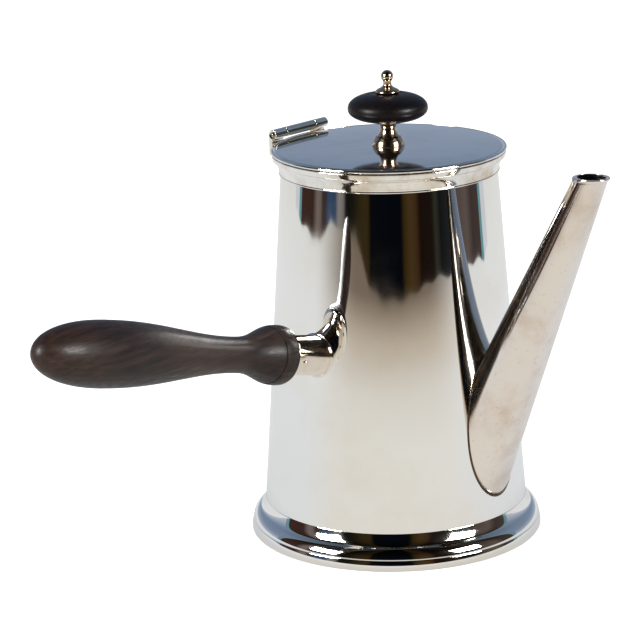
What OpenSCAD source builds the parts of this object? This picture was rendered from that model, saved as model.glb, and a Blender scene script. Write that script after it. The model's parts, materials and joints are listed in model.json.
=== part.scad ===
// Side-handled silver coffee pot with a flat hinged lid and a straight tapered spout.
// Millimetres. The origin is the centre of the foot's resting face, +Z is up, the spout
// points along +X, the lid's hinge is at -X, and the handle stands out along -Y.

/* [Body] */
// Outer radius of the tapered body where it meets the foot
body_low_r = 52.3; // [51:0.1:53.5]
// Outer radius of the tapered body under the rim moulding
body_high_r = 42.45; // [41:0.1:44]
// Height at which the body meets the foot
body_low_z = 13.4; // [12:0.1:15]
// Height at which the rim moulding starts
body_high_z = 145.5; // [140:0.5:150]
// Thickness of the body's sheet silver
wall = 1.2; // [1:0.1:1.5]

/* [Foot] */
// Largest radius of the foot
foot_r = 58.2; // [57:0.1:60]
// Width of the foot's large convex moulding
foot_bulge_w = 5.6; // [5:0.1:6.2]
// Rise of the foot's convex moulding above its widest level
foot_bulge_h = 5.6; // [5:0.1:6]

/* [Lid] */
// Radius of the lid over its edge wire
lid_r = 46; // [45:0.1:47]
// Height of the lid's top at its edge
lid_top_z = 154.7; // [150:0.1:160]
// Thickness of the lid's edge wire
lid_edge_t = 1.4; // [1:0.1:2]
// Rise of the lid's top from its edge to its middle
lid_crown = 0.55; // [0.2:0.1:1]
// Depth of the bezel that drops into the body's mouth
bezel_depth = 5; // [3:0.5:7]

/* [Lid hinge] */
// Radius of the hinge barrel
barrel_r = 1.95; // [1.6:0.05:2.2]
// Whole length of the hinge barrel
barrel_len = 32; // [24:1:34]
// Length of the lid's own knuckle
lid_knuckle_len = 17.4; // [12:0.2:20]
// Radius of the hinge pin
hinge_pin_r = 0.75; // [0.5:0.05:1]

/* [Spout] */
// Lean of the spout's axis away from the vertical, in degrees
spout_tilt = 24.8; // [20:0.1:28]
// Distance from the pot's axis to the spout's axis, at the level of the foot
spout_foot_x = 24.5; // [22:0.1:27]
// Outer radius of the spout's cone, at the level of the foot
spout_foot_r = 17.7; // [16:0.1:19]
// Narrowing of the spout's radius over each millimetre of its length
spout_taper = 0.0689; // [0.05:0.0001:0.08]
// Height of the spout's level-cut tip
spout_tip_z = 153.7; // [145:0.1:160]
// Thickness of the spout's wall
spout_wall = 1; // [0.8:0.1:1.2]
// Radius of the strainer holes behind the spout
strainer_hole_r = 1.4; // [1:0.1:1.6]

/* [Handle] */
// Height at which the handle's axis passes through the body's wall
handle_z = 81.2; // [75:0.1:90]
// Rise of the handle above the horizontal, in degrees
handle_rise = 13.7; // [8:0.1:18]
// Outer radius of the silver socket
socket_r = 7.6; // [7:0.1:8.5]
// Length of the socket from the body's wall to its flange
socket_len = 21.5; // [18:0.1:22]
// Radius of the turned collar at the root of the wooden handle
collar_r = 11.4; // [10:0.1:12.5]
// Radius of the wooden handle's waist
waist_r = 6.8; // [6.4:0.1:8]
// Largest radius of the wooden handle
grip_r = 12.1; // [10:0.05:13]
// Distance from the body's wall to the handle's free end
handle_reach = 149.5; // [140:0.5:165]

/* [Finial] */
// Radius of the turned wooden disc
disc_r = 15.6; // [14:0.1:17]
// Rise of the disc's top above its widest level
disc_high_h = 6.15; // [5.5:0.05:7]
// Drop of the disc's underside below its widest level
disc_low_h = 5.4; // [4.5:0.05:6]
// Height of the disc's widest level
disc_z = 169.85; // [168.5:0.05:172]
// Radius of the ball on top
ball_r = 2.4; // [2.1:0.05:2.8]

/* [Hidden] */

$fn = 96;

silver = [0.80, 0.81, 0.83];
warm_silver = [0.80, 0.74, 0.66];
dark_wood = [0.13, 0.08, 0.06];
black_wood = [0.06, 0.05, 0.06];

// Small gap between a piece that moves and one that stands still
gap = 0.3;
body_slope = (body_high_r - body_low_r) / (body_high_z - body_low_z);
mouth_z = lid_top_z - lid_edge_t - gap;
shell_bottom_z = 6;
foot_lip_w = 2.2;
base_z = 7.2;
base_t = 1.2;
base_crown = 1.6;
base_edge_w = 2;
strainer_z = 50;
strainer_rows = 3;
strainer_pitch = 4.6;
strainer_squash = 3.2;
strainer_half_w = 11.4;
rim_low_z = body_high_z - 0.3;
rim_out_r = lid_r - 0.3;
hinge_x = -lid_r;
hinge_z = lid_top_z + barrel_r + 0.25;
lug_inner_x = hinge_x - 0.4;
lug_outer_x = hinge_x - barrel_r;
lug_low_z = 148.6;
stud_r = 1.5;
stud_hole_r = 1.6;
cap_z = disc_z + disc_high_h - 0.4;
ball_z = cap_z + 6.7;
lid_seat_r = 6.5;
lid_face_r = lid_r - 1.2;
stem_low_z = lid_top_z + lid_crown;
stem_high_z = disc_z - disc_low_h + 0.4;
tenon_r = 6.2;
socket_bore_r = 6.25;
flange_t = 1.1;
collar_start = socket_len + flange_t;
grip_middle = handle_reach - 33.5;
waist_at = 48;
collar_end = 25.2;
rivet_at = 14.5;
rivet_turn = -12;

// Outer radius of the body at a height
function body_r(z) = body_low_r + (z - body_low_z) * body_slope;

// Points along an arc, from one angle to another
function arc(centre, r, from, to, steps = 12) =
    [for (i = [0 : steps]) let (a = from + (to - from) * i / steps)
        [centre[0] + r * cos(a), centre[1] + r * sin(a)]];

// The solid that the body's outer surface encloses
module body_solid(grow = 0) {
    low = -1;
    high = lid_top_z + 6;
    translate([0, 0, low])
        cylinder(h = high - low, r1 = body_r(low) + grow, r2 = body_r(high) + grow);
}

module along_spout() {
    translate([spout_foot_x, 0, 0]) rotate([0, spout_tilt, 0]) children();
}

module spout_cone(shrink = 0) {
    start = 8;
    finish = 190;
    along_spout() translate([0, 0, start])
        cylinder(h = finish - start, r1 = spout_foot_r - spout_taper * start - shrink,
                 r2 = spout_foot_r - spout_taper * finish - shrink);
}

module along_handle() {
    translate([0, -body_r(handle_z), handle_z]) rotate([90 - handle_rise, 0, 0]) children();
}

// ---- body -------------------------------------------------------------------------

// Staggered rows of holes that fill an upright oval behind the spout's root
module strainer_holes() {
    drill = 20;
    for (row = [-strainer_rows : strainer_rows])
        for (col = [-2 : 2]) {
            y = (col + (row % 2 == 0 ? 0 : 0.5)) * strainer_pitch;
            if (norm([y, row * strainer_squash]) < strainer_half_w)
                translate([body_high_r - 5, y, strainer_z + row * strainer_pitch])
                    rotate([0, 90, 0]) cylinder(h = drill, r = strainer_hole_r, $fn = 24);
        }
}

module body_shell() color(silver) {
    difference() {
        translate([0, 0, shell_bottom_z])
            cylinder(h = mouth_z - shell_bottom_z, r1 = body_r(shell_bottom_z), r2 = body_r(mouth_z));
        translate([0, 0, shell_bottom_z - 1])
            cylinder(h = mouth_z - shell_bottom_z + 2, r1 = body_r(shell_bottom_z - 1) - wall,
                     r2 = body_r(mouth_z + 1) - wall);
        strainer_holes();
    }
}

module base_plate() color(silver) {
    edge_low = body_r(base_z) - wall;
    edge_high = body_r(base_z + base_t) - wall;
    crown = [for (i = [0 : 8]) let (r = edge_high * (8 - i) / 8)
        [r, base_z + base_t + base_crown * (1 - pow(r / edge_high, 2))]];
    hollow_r = edge_low - base_edge_w;
    hollow = [for (i = [0 : 8]) let (r = hollow_r * i / 8)
        [r, base_z + base_crown * (1 - pow(r / hollow_r, 2))]];
    rotate_extrude() polygon(concat([[edge_low, base_z]], crown, hollow));
}

// Thin sheet: a tall lip that leans in, a convex curve above it and a hollow sweep up to the body
module foot_moulding() color(silver) {
    sheet = 1;
    lip_sweep_r = 10.4;
    lip_lean = 20.3;
    lip_low_z = 0.7;
    lip_set_in = 0.6;
    bulge_end = 66.5;
    bulge_wide = foot_bulge_w - lip_set_in;
    bulge_at = [foot_r - foot_bulge_w, 3.6];
    bulge_top = [bulge_at[0] + bulge_wide * cos(bulge_end), bulge_at[1] + foot_bulge_h * sin(bulge_end)];
    cove_bend = [max(bulge_top[0] - 1.1, body_r(bulge_top[1]) + 0.3), bulge_top[1] + 0.54];
    cove_top = [body_r(body_low_z) + 0.1, body_low_z];
    under_lip = [for (i = [0 : 5]) let (a = 90 * i / 5)
        [foot_r - 1.2 + 1.2 * sin(a), lip_low_z - lip_low_z * cos(a)]];
    lip = arc([foot_r - lip_sweep_r, lip_low_z], lip_sweep_r, 3, lip_lean, 6);
    bulge = [for (i = [0 : 14]) let (a = 10.3 + (bulge_end - 10.3) * i / 14)
        [bulge_at[0] + bulge_wide * cos(a), bulge_at[1] + foot_bulge_h * sin(a)]];
    cove = [for (i = [1 : 8]) let (t = i / 8)
        pow(1 - t, 2) * bulge_top + 2 * t * (1 - t) * cove_bend + pow(t, 2) * cove_top];
    under = [for (i = [0 : 7]) let (a = 70 - 10 * i)
        [bulge_at[0] + (bulge_wide - sheet) * cos(a), bulge_at[1] + (foot_bulge_h - sheet) * sin(a)]];
    rotate_extrude() polygon(concat([[foot_r - foot_lip_w, 0]], under_lip, lip, bulge, cove,
        [[body_r(body_low_z), body_low_z], [body_r(8), 8]], under, [[foot_r - foot_lip_w, 1]]));
}

module foot_wire() color(silver) {
    wire_h = 1;
    inner_r = foot_r - 6.6;
    outer_r = foot_r - foot_lip_w;
    rotate_extrude() polygon([[inner_r, 0], [outer_r, 0], [outer_r, wire_h], [inner_r + 0.3, wire_h],
                              [inner_r, wire_h - 0.3]]);
}

// Half of the rim moulding's outer outline, from its lower bead to its flat top
function rim_outline() = concat(
    [[body_r(rim_low_z) + 0.45, rim_low_z], [body_r(rim_low_z) + 0.65, rim_low_z + 0.35],
     [body_r(rim_low_z) + 0.5, rim_low_z + 0.9]],
    arc([rim_out_r + 3.1, rim_low_z + 1.2], 5.7, 180, 127, 12),
    [[rim_out_r, mouth_z - 1], [rim_out_r, mouth_z]]);

module rim_moulding() color(silver) {
    rotate_extrude() polygon(concat([[body_r(rim_low_z), rim_low_z]], rim_outline(),
                                    [[body_r(mouth_z), mouth_z]]));
}

// ---- spout ------------------------------------------------------------------------

module spout_tube() color(warm_silver) {
    difference() {
        spout_cone();
        spout_cone(spout_wall);
        body_solid();
        translate([0, -60, spout_tip_z]) cube([200, 120, 80]);
    }
}

module spout_lip() color(silver) {
    lip_h = 1.1;
    difference() {
        spout_cone(-0.5);
        spout_cone();
        translate([0, -60, spout_tip_z]) cube([200, 120, 80]);
        translate([-60, -60, spout_tip_z - lip_h - 200]) cube([220, 120, 200]);
    }
}

// ---- handle -----------------------------------------------------------------------

module handle_socket() color(warm_silver) {
    difference() {
        along_handle() translate([0, 0, -4])
            cylinder(h = 4 + socket_len, r1 = socket_r + 0.3, r2 = socket_r - 0.1);
        along_handle() translate([0, 0, -8]) cylinder(h = socket_len + 12, r = socket_bore_r);
        body_solid();
        rivet_hole(clearance = 0.02);
    }
}

module socket_flange() color(silver) {
    along_handle() translate([0, 0, socket_len]) rotate_extrude()
        polygon([[socket_bore_r, 0], [collar_r - 1.6, 0], [collar_r - 0.5, 0.35],
                 [collar_r - 0.1, flange_t], [socket_bore_r, flange_t]]);
}

module rivet_hole(clearance = 0) {
    along_handle() translate([0, 0, rivet_at]) rotate([0, 0, rivet_turn]) rotate([0, 90, 0])
        translate([0, 0, -14]) cylinder(h = 28, r = 1 + clearance);
}

// Radius of the turned handle, at a distance from the body's wall
function grip_outline(s) =
    s > grip_middle
        ? grip_r * pow(max(0, 1 - pow((s - grip_middle) / (handle_reach - grip_middle), 2.2)), 1 / 2.2)
        : s > waist_at
            ? waist_r + (grip_r - waist_r)
                * (1 + cos(180 * pow((grip_middle - s) / (grip_middle - waist_at), 1.12))) / 2
            : waist_r + (collar_r - waist_r)
                * (1 - cos(180 * pow((waist_at - s) / (waist_at - collar_end), 1.35))) / 2;

module wooden_handle() color(dark_wood) {
    tenon_start = 0.6;
    groove_at = 29.5;
    groove_w = 0.4;
    shoulder = [for (i = [0 : 4]) let (s = collar_end + (groove_at - groove_w - collar_end) * i / 4)
        [grip_outline(s), s]];
    neck = [for (i = [0 : 10]) let (s = groove_at + groove_w + (waist_at - groove_at - groove_w) * i / 10)
        [grip_outline(s), s]];
    swell = [for (i = [1 : 20]) let (s = waist_at + (grip_middle - waist_at) * i / 20)
        [grip_outline(s), s]];
    round_end = [for (i = [1 : 14]) let (s = grip_middle + (handle_reach - grip_middle) * sin(90 * i / 14))
        [grip_outline(s), s]];
    difference() {
        along_handle() rotate_extrude()
            polygon(concat([[0, tenon_start], [tenon_r - 0.4, tenon_start], [tenon_r, tenon_start + 0.4],
                            [tenon_r, collar_start], [collar_r - 0.5, collar_start],
                            [collar_r, collar_start + 0.5]],
                           shoulder, [[grip_outline(groove_at) - groove_w, groove_at]], neck, swell,
                           round_end));
        body_solid();
        rivet_hole(clearance = 0.02);
    }
}

module handle_rivet() color(warm_silver) {
    half = socket_r + 0.25;
    along_handle() translate([0, 0, rivet_at]) rotate([0, 0, rivet_turn]) rotate([0, 90, 0])
        rotate_extrude() polygon([[0, -half - 0.2], [0.7, -half], [1, -half + 0.3],
                                  [1, half - 0.3], [0.7, half], [0, half + 0.2]]);
}

// ---- lid hinge ----------------------------------------------------------------------

module along_hinge() {
    translate([hinge_x, 0, hinge_z]) rotate([90, 0, 0]) children();
}

module fixed_knuckles() color(silver) {
    outer_len = (barrel_len - lid_knuckle_len) / 2 - gap;
    for (side = [-1, 1])
        difference() {
            union() {
                along_hinge() translate([0, 0, side * (barrel_len - outer_len) / 2])
                    cylinder(h = outer_len, r = barrel_r, center = true);
                lug_y = side * (barrel_len - outer_len) / 2;
                translate([lug_outer_x, lug_y - outer_len / 2, lug_low_z])
                    cube([lug_inner_x - lug_outer_x, outer_len, hinge_z - lug_low_z]);
                translate([lug_outer_x, lug_y - outer_len / 2, lug_low_z])
                    cube([6, outer_len, mouth_z - 0.1 - lug_low_z]);
            }
            along_hinge() cylinder(h = barrel_len + 2, r = hinge_pin_r + 0.02, center = true);
            rotate_extrude() polygon(concat([[0, rim_low_z]], rim_outline(), [[0, mouth_z]]));
        }
}

module hinge_pin() color(warm_silver) {
    half = barrel_len / 2;
    along_hinge() rotate_extrude()
        polygon([[0, -half - 0.35], [0.55, -half - 0.2], [hinge_pin_r, -half + 0.1],
                 [hinge_pin_r, half - 0.1], [0.55, half + 0.2], [0, half + 0.35]]);
}

module lid_knuckle() color(silver) {
    along_hinge() difference() {
        cylinder(h = lid_knuckle_len, r = barrel_r, center = true);
        cylinder(h = lid_knuckle_len + 2, r = hinge_pin_r + 0.05, center = true);
    }
}

module hinge_leaf() color(silver) {
    leaf_t = 2;
    leaf_back_x = hinge_x + barrel_r + 0.5;
    leaf_front_x = hinge_x + 6.6;
    half_w = barrel_len / 2 - 1.5;
    sagitta = leaf_front_x - leaf_back_x;
    leaf_r = (pow(half_w, 2) + pow(sagitta, 2)) / (2 * sagitta);
    difference() {
        union() {
            intersection() {
                translate([leaf_front_x - leaf_r, 0, lid_top_z]) cylinder(h = leaf_t, r = leaf_r);
                translate([leaf_back_x, -half_w, lid_top_z]) cube([20, 2 * half_w, leaf_t]);
            }
            translate([hinge_x + 0.4, -lid_knuckle_len / 2, lid_top_z])
                cube([barrel_r + 1, lid_knuckle_len, leaf_t]);
        }
        along_hinge() cylinder(h = barrel_len + 2, r = barrel_r, center = true);
        rotate_extrude() lid_face();
    }
}

// ---- lid ----------------------------------------------------------------------------

// Half section of the lid plate: flat below, slightly crowned above, with a flat seat for the finial
module lid_face() {
    plate_t = 1.1;
    low = lid_top_z - plate_t;
    crown = [for (i = [0 : 12]) let (t = 1 - i / 12)
        [lid_seat_r + (lid_face_r - lid_seat_r) * t, lid_top_z + lid_crown * (1 - pow(t, 3))]];
    polygon(concat([[stud_hole_r, low], [lid_face_r, low]], crown, [[stud_hole_r, lid_top_z + lid_crown]]));
}

module lid_plate() color(silver) {
    rotate_extrude() lid_face();
}

module lid_edge_wire() color(silver) {
    half_t = lid_edge_t / 2;
    rotate_extrude() polygon(concat([[lid_face_r, lid_top_z - lid_edge_t]],
        arc([lid_r - half_t, lid_top_z - half_t], half_t, -90, 90, 10), [[lid_face_r, lid_top_z]]));
}

module lid_bezel() color(silver) {
    bezel_r = 39.6;
    bezel_high = lid_top_z - 1.1;
    bezel_low = bezel_high - bezel_depth;
    rotate_extrude() polygon([[bezel_r - 1, bezel_low], [bezel_r - 0.4, bezel_low],
                              [bezel_r, bezel_low + 0.6], [bezel_r, bezel_high], [bezel_r - 1, bezel_high]]);
}

// ---- finial -------------------------------------------------------------------------

// A rounded foot, a bell with a small step, a waist and a flare up to the disc
module finial_stem() color(warm_silver) {
    base_r = 6.4;
    bell_low = [6.25, stem_low_z + 0.7];
    bell_high = [4.95, stem_low_z + 3.5];
    waist_low = [4.25, stem_low_z + 3.8];
    neck = [3.05, stem_low_z + 7.2];
    top_r = 4.05;
    bell = [for (i = [0 : 4]) let (t = i / 4) [bell_low[0] + (bell_high[0] - bell_low[0]) * pow(t, 1.6),
                                               bell_low[1] + (bell_high[1] - bell_low[1]) * t]];
    waist = [for (i = [0 : 8]) let (t = i / 8) [neck[0] + (waist_low[0] - neck[0]) * pow(1 - t, 2),
                                                waist_low[1] + (neck[1] - waist_low[1]) * t]];
    flare = [for (i = [1 : 6]) let (t = i / 6) [neck[0] + (top_r - neck[0]) * pow(t, 1.6),
                                                neck[1] + (stem_high_z - neck[1]) * t]];
    rotate_extrude() polygon(concat([[stud_hole_r, stem_low_z], [base_r - 0.2, stem_low_z],
                                     [base_r, stem_low_z + 0.35]], bell, waist, flare,
                                    [[stud_hole_r, stem_high_z]]));
}

// A full, rounded section, with a flat seat for the stem below and for the cap above
module finial_disc() color(black_wood) {
    fullness = 0.87;
    from = -asin(pow((disc_z - stem_high_z) / disc_low_h, 1 / fullness));
    to = asin(pow((cap_z - disc_z) / disc_high_h, 1 / fullness));
    lower = [for (i = [0 : 12]) let (a = from * (1 - i / 12))
        [disc_r * pow(cos(a), fullness), disc_z - disc_low_h * pow(sin(-a), fullness)]];
    upper = [for (i = [1 : 12]) let (a = to * i / 12)
        [disc_r * pow(cos(a), fullness), disc_z + disc_high_h * pow(sin(a), fullness)]];
    rotate_extrude() polygon(concat([[stud_hole_r, stem_high_z]], lower, upper, [[stud_hole_r, cap_z]]));
}

// A domed flange, a hollow curve up to a neck, and a ball
module finial_cap() color(warm_silver) {
    flange_r = 4.7;
    shoulder = [3.9, cap_z + 1.7];
    neck = [1.6, cap_z + 3.6];
    hollow = [for (i = [0 : 8]) let (t = i / 8) [neck[0] + (shoulder[0] - neck[0]) * pow(1 - t, 2),
                                                 shoulder[1] + (neck[1] - shoulder[1]) * t]];
    rotate_extrude() polygon(concat([[0, cap_z], [flange_r - 0.2, cap_z], [flange_r, cap_z + 0.25],
                                     [flange_r, cap_z + 0.8], [flange_r - 0.25, cap_z + 1.3]],
                                    hollow, [[neck[0], cap_z + 4.6]], arc([0, ball_z], ball_r, -48, 90, 14)));
}

module finial_stud() color(warm_silver) {
    low = lid_top_z - 6;
    translate([0, 0, low]) cylinder(h = cap_z - low, r = stud_r, $fn = 48);
}

module finial_washer() color(warm_silver) {
    washer_t = 0.8;
    translate([0, 0, lid_top_z - 1.1 - washer_t]) difference() {
        cylinder(h = washer_t, r = 5, $fn = 48);
        translate([0, 0, -1]) cylinder(h = washer_t + 2, r = stud_hole_r, $fn = 48);
    }
}

module finial_nut() color(warm_silver) {
    nut_t = 2.4;
    translate([0, 0, lid_top_z - 1.9 - nut_t]) difference() {
        cylinder(h = nut_t, r = 3.4, $fn = 6);
        translate([0, 0, -1]) cylinder(h = nut_t + 2, r = stud_hole_r, $fn = 48);
    }
}

body_shell();
base_plate();
foot_moulding();
foot_wire();
rim_moulding();
spout_tube();
spout_lip();
handle_socket();
socket_flange();
wooden_handle();
handle_rivet();
fixed_knuckles();
hinge_pin();
lid_plate();
lid_edge_wire();
lid_bezel();
lid_knuckle();
hinge_leaf();
finial_stem();
finial_disc();
finial_cap();
finial_stud();
finial_washer();
finial_nut();
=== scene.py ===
import json
from math import atan2, cos, degrees, pi, radians, sin

import bmesh
import bpy
import numpy as np
from mathutils import Matrix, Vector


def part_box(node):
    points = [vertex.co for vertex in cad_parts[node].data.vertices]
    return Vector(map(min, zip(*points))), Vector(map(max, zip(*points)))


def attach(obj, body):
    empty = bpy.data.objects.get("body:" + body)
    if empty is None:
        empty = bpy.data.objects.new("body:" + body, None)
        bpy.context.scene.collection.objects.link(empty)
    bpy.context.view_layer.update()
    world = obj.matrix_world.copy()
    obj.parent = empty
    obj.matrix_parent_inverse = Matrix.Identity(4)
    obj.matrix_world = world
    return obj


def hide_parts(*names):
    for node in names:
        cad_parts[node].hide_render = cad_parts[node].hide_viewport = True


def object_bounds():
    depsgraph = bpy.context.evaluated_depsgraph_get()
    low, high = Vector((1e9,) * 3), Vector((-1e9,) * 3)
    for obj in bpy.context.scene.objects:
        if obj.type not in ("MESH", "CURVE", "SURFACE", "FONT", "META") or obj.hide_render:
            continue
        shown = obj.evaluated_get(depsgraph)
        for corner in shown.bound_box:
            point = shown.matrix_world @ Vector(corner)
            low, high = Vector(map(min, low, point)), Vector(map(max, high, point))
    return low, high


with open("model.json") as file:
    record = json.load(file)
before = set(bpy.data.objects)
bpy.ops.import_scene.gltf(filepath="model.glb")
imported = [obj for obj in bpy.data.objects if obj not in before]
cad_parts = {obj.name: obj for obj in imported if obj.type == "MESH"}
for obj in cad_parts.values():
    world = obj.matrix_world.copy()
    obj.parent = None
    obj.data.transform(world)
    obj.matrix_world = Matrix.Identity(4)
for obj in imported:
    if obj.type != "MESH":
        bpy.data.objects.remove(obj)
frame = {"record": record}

cad_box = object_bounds()
scene = bpy.context.scene
scene.view_settings.view_transform = "Standard"

# ---- sizes, in millimetres --------------------------------------------------------

MM = 0.001
ROUND = 256
SAME_POINT = 1e-7


def box_mm(node):
    """Lowest and highest corner of a CAD node, in millimetres."""
    return [np.array(corner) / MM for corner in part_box(node)]


SHELL_LOW, SHELL_HIGH = box_mm("body_shell")
LID_LOW, LID_HIGH = box_mm("lid_edge_wire")
FOOT_HIGH = box_mm("foot_moulding")[1]
BEZEL_LOW, BEZEL_HIGH = box_mm("lid_bezel")
PIN_HIGH = box_mm("hinge_pin")[1]
KNUCKLE_LOW, KNUCKLE_HIGH = box_mm("lid_knuckle")
FIXED_LOW, FIXED_HIGH = box_mm("fixed_knuckles")
LEAF_LOW, LEAF_HIGH = box_mm("hinge_leaf")
STEM_LOW, STEM_HIGH = box_mm("finial_stem")
DISC_LOW, DISC_HIGH = box_mm("finial_disc")
CAP_LOW, CAP_HIGH = box_mm("finial_cap")
NUT_LOW, NUT_HIGH = box_mm("finial_nut")
WASHER_LOW, WASHER_HIGH = box_mm("finial_washer")
STUD_LOW, STUD_HIGH = box_mm("finial_stud")

WALL = 1.2
BODY_SLOPE = -0.07457
MOUTH_Z = SHELL_HIGH[2]
FOOT_R = FOOT_HIGH[0]
FOOT_LIP_W = 2.2
WIRE_INNER_R = 51.6
BODY_FOOT_Z = FOOT_HIGH[2]
RIM_LOW_Z = 145.2
LID_R = LID_HIGH[0]
LID_TOP = LID_HIGH[2]
LID_FACE_R = LID_R - 1.2
LID_SEAT_R = 6.5
LID_CROWN = 0.55
RIM_R = LID_R - 0.3
HINGE_X, HINGE_Y, HINGE_Z = np.array(frame["record"]["behaviour"]["joints"][0]["pos_m"]) / MM
BARREL_R = KNUCKLE_HIGH[2] - HINGE_Z
PIN_R = 0.75
PIN_PLAY = 0.05
KNUCKLE_GAP = 0.3
KNUCKLE_EDGE = 0.16
LUG_EDGE = 0.08

SPOUT_TILT = radians(24.8)
SPOUT_FOOT_X = 24.5
SPOUT_FOOT_R = 17.7
SPOUT_TAPER = 0.0689
SPOUT_WALL = 1.0
SPOUT_TIP_Z = 153.7
LIP_T = 0.5
LIP_H = 1.1
ROOT_BITE = 0.3
SOLDER_BITE = 0.15

HANDLE_Z = 81.2
HANDLE_RISE = radians(13.7)
SOCKET_R = 7.84
SOCKET_TAPER = 0.0157
SOCKET_BORE_R = 6.25
SOCKET_LEN = 21.5
FLANGE_T = 1.1
COLLAR_R = 11.4
COLLAR_START = SOCKET_LEN + FLANGE_T
COLLAR_END = 25.2
GROOVE_AT = 29.5
WAIST_R = 6.8
WAIST_AT = 48.0
GRIP_R = 12.1
GRIP_AT = 116.0
HANDLE_END = 149.5
END_POWER = 2.2
TENON_R = 6.2
RIVET_AT = 14.5
RIVET_TURN = radians(-102)
STUD_HOLE_R = 1.6
DISC_WIDEST_Z = 169.85


def body_radius(z):
    """Outer radius of the tapered body at a height: it falls evenly from the shell's lower edge."""
    return SHELL_HIGH[0] + (z - SHELL_LOW[2]) * BODY_SLOPE


# ---- outlines ---------------------------------------------------------------------

def arc(centre, radius, start, end, steps=16):
    """Points on a circle about centre, from one angle to another, in degrees."""
    turn = np.radians(np.linspace(start, end, steps + 1))
    return np.column_stack([centre[0] + radius * np.cos(turn), centre[1] + radius * np.sin(turn)])


def softened(corners, steps=6):
    """A closed outline through corners (u, v, f): each becomes an arc of radius f touching both sides."""
    corners = np.asarray(corners, float)
    outline = []
    for before, here, after in zip(np.roll(corners, 1, 0), corners, np.roll(corners, -1, 0)):
        if here[2] == 0:
            outline.append(here[None, :2])
            continue
        to_before = before[:2] - here[:2]
        to_after = after[:2] - here[:2]
        to_before /= np.linalg.norm(to_before)
        to_after /= np.linalg.norm(to_after)
        half = np.arccos(np.clip(to_before @ to_after, -1, 1)) / 2
        inward = (to_before + to_after) / np.linalg.norm(to_before + to_after)
        centre = here[:2] + inward * here[2] / sin(half)
        first = here[:2] + to_before * here[2] / np.tan(half) - centre
        last = here[:2] + to_after * here[2] / np.tan(half) - centre
        spread = np.linspace(0, 1, steps + 1)[:, None]
        between = first * (1 - spread) + last * spread
        outline.append(centre + here[2] * between / np.linalg.norm(between, axis=1)[:, None])
    return np.vstack(outline)


# ---- surfaces ---------------------------------------------------------------------

def full_turn(steps=ROUND):
    """Angles spaced evenly round a circle, in radians."""
    return np.linspace(0, 2 * pi, steps, endpoint=False)


def turned(outline, steps=ROUND):
    """Lathe work: the outline's point (r, z) becomes the circle (r cos a, r sin a, z)."""
    angle = full_turn(steps)
    radius, height = outline[:, :1], outline[:, 1:]
    return np.stack([radius * np.cos(angle), radius * np.sin(angle), height + 0 * angle], axis=-1)


def square_to(axis):
    """Two unit vectors at right angles to an axis and to each other."""
    side = np.cross(axis, [1.0, 0, 0] if abs(axis[0]) < 0.9 else [0, 1.0, 0])
    side /= np.linalg.norm(side)
    return side, np.cross(axis, side)


def on_axis(grid, origin, axis):
    """Carries a grid made about +Z to an axis through origin: x and y go along two sides square to it."""
    side, other = square_to(axis)
    return origin + grid[..., :1] * side + grid[..., 1:2] * other + grid[..., 2:] * np.asarray(axis)


def grid_faces(rows, columns, ring_rows):
    """Quads between neighbouring rows and columns; columns close on themselves, rows only in a ring."""
    row = np.arange(rows if ring_rows else rows - 1)[:, None]
    column = np.arange(columns)[None, :]
    next_row, next_column = (row + 1) % rows, (column + 1) % columns
    corners = [row * columns + column, row * columns + next_column,
               next_row * columns + next_column, next_row * columns + column]
    return np.stack(np.broadcast_arrays(*corners), axis=-1).reshape(-1, 4)


def clean_mesh(name, points, faces):
    """A mesh with its doubled points merged and its faces turned outwards."""
    mesh = bpy.data.meshes.new(name)
    mesh.from_pydata(points.tolist(), [], faces.tolist())
    work = bmesh.new()
    work.from_mesh(mesh)
    bmesh.ops.remove_doubles(work, verts=work.verts, dist=SAME_POINT)
    bmesh.ops.recalc_face_normals(work, faces=work.faces)
    work.to_mesh(mesh)
    work.free()
    return mesh


def steady_normals(mesh):
    """Vertex normals weighted by each face's squared area, so a flat beside a small rounding stays flat."""
    faces, loops, vertices = len(mesh.polygons), len(mesh.loops), len(mesh.vertices)
    area = np.empty(faces)
    normal = np.empty(faces * 3)
    corners = np.empty(faces, np.int32)
    vertex = np.empty(loops, np.int32)
    mesh.polygons.foreach_get("area", area)
    mesh.polygons.foreach_get("normal", normal)
    mesh.polygons.foreach_get("loop_total", corners)
    mesh.loops.foreach_get("vertex_index", vertex)
    weighted = normal.reshape(-1, 3) * ((area / area.max()) ** 2)[:, None]
    total = np.zeros((vertices, 3))
    np.add.at(total, vertex, np.repeat(weighted, corners, axis=0))
    total /= np.maximum(np.linalg.norm(total, axis=1), 1e-30)[:, None]
    mesh.normals_split_custom_set_from_vertices(total)


def piece(name, grids, body, material, nodes=(), ring_rows=True):
    """One finished piece from one or more grids of points: poles merged, faces outwards, smooth."""
    grids = grids if isinstance(grids, list) else [grids]
    points, faces, used = [], [], 0
    for grid in grids:
        rows, columns = grid.shape[:2]
        points.append(grid.reshape(-1, 3) * MM)
        faces.append(grid_faces(rows, columns, ring_rows) + used)
        used += rows * columns
    mesh = clean_mesh(name, np.vstack(points), np.vstack(faces))
    mesh.shade_smooth()
    steady_normals(mesh)
    made = bpy.data.objects.new(name, mesh)
    scene.collection.objects.link(made)
    made.data.materials.append(material)
    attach(made, body)
    if nodes:
        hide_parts(*nodes)
    return made


# ---- shader helpers -----------------------------------------------------------------

def colour(red, green, blue):
    """A screen colour from 0 to 255, made linear for a shader."""
    screen = np.array([red, green, blue]) / 255
    linear = np.where(screen <= 0.04045, screen / 12.92, ((screen + 0.055) / 1.055) ** 2.4)
    return (*linear.tolist(), 1.0)


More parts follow.
